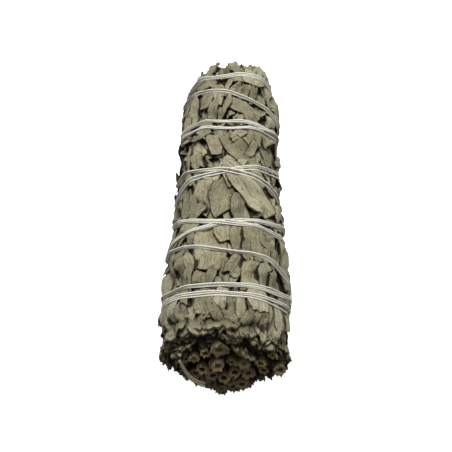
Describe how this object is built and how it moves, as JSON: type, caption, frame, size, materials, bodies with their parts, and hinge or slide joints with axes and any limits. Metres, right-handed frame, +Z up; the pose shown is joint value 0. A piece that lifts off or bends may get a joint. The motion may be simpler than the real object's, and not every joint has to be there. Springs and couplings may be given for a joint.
{
  "type": "sage smudge stick",
  "caption": "Short bundle of dried white sage lying on its side: leafy sprigs pressed round cut stems and bound with crossing turns of cotton thread.",
  "frame": {"origin": "under the middle of the stick, on the surface that it lies on", "axes": "+Y along the stick from its cut stems to its leaf tips, +Z up, +X to the right seen from the cut stems"},
  "size_m": [0.0384, 0.1056, 0.0329],
  "materials": {
    "sage_leaf": "dry felted grey-green leaf, matt",
    "sage_stem": "dry brown stem with a pithy cut end, matt",
    "cotton_thread": "off-white twisted cotton, slightly shiny"
  },
  "bodies": {
    "root": {"sprig_leaves_1": "sage_leaf", "sprig_leaves_2": "sage_leaf", "sprig_leaves_3": "sage_leaf", "sprig_leaves_4": "sage_leaf", "sprig_leaves_5": "sage_leaf", "sprig_leaves_6": "sage_leaf", "sprig_leaves_7": "sage_leaf", "sprig_leaves_8": "sage_leaf", "loose_leaf_1": "sage_leaf", "loose_leaf_2": "sage_leaf", "loose_leaf_3": "sage_leaf", "loose_leaf_4": "sage_leaf", "loose_leaf_5": "sage_leaf", "loose_leaf_6": "sage_leaf", "heart_leaves": "sage_leaf", "stem_01": "sage_stem", "stem_02": "sage_stem", "stem_03": "sage_stem", "stem_04": "sage_stem", "stem_05": "sage_stem", "stem_06": "sage_stem", "stem_07": "sage_stem", "stem_08": "sage_stem", "stem_09": "sage_stem", "stem_10": "sage_stem", "stem_11": "sage_stem", "stem_12": "sage_stem", "stem_13": "sage_stem", "stem_14": "sage_stem", "stem_15": "sage_stem", "stem_16": "sage_stem", "stem_17": "sage_stem", "thread": "cotton_thread"}
  },
  "joints": []
}
